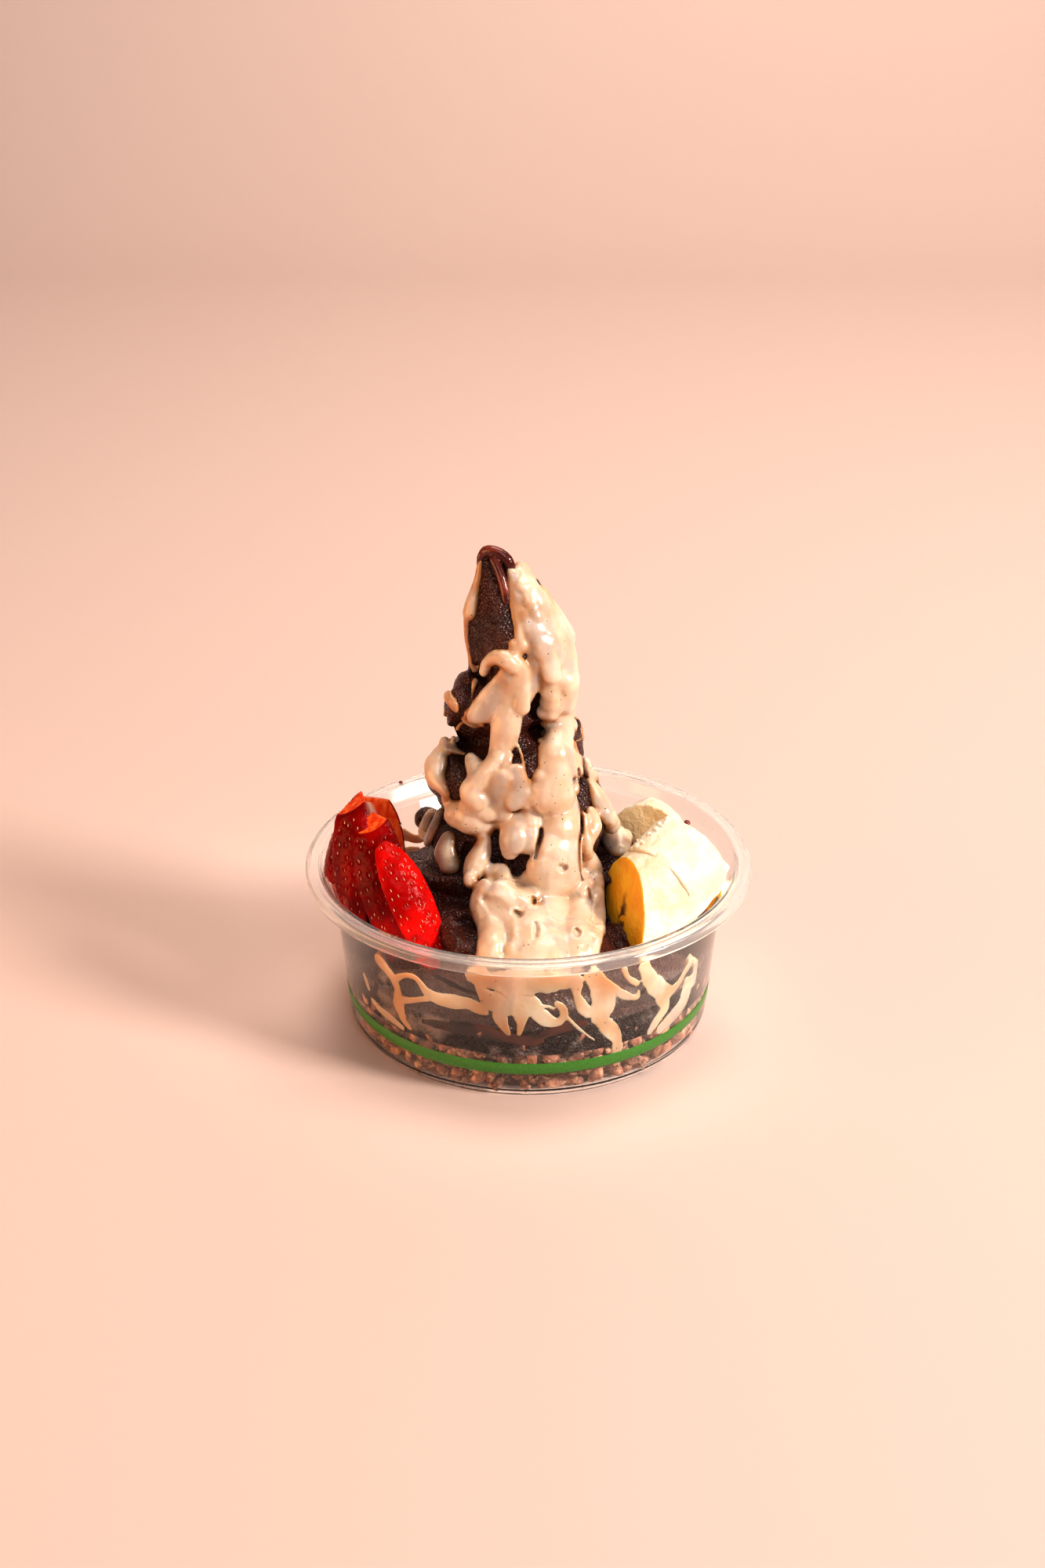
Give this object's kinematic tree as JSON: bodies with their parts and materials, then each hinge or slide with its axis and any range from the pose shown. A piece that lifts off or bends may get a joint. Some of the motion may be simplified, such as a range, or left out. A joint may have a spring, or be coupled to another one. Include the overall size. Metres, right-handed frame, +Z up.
{
  "type": "acai bowl",
  "caption": "Clear deli bowl of soft-serve acai swirled to a leaning spire over granola, with nut butter poured on it and cut strawberry and banana at its sides.",
  "frame": {"origin": "middle of the bowl's base, on the surface it stands on", "axes": "+Z up along the bowl's axis; -Y towards the serving side, with strawberry on the left (-X) and banana on the right (+X)"},
  "size_m": [0.12, 0.12, 0.1339],
  "materials": {
    "clear_bowl": "clear glossy plant plastic, thin wall",
    "green_print": "printed stripe",
    "granola": "dry, rough cocoa oat clusters",
    "acai": "frozen, finely icy, dull sheen",
    "nut_butter": "smooth wet gloss",
    "strawberry": "wet gloss with small pits and seeds",
    "banana": "soft moist flesh"
  },
  "bodies": {
    "root": {"bowl": "clear_bowl", "granola": "granola", "acai_swirl": "acai", "strawberry_front": "strawberry", "strawberry_middle": "strawberry", "strawberry_left": "strawberry", "strawberry_far": "strawberry", "strawberry_back": "strawberry", "banana_front": "banana", "banana_middle": "banana", "banana_back": "banana", "banana_side": "banana"}
  },
  "joints": []
}
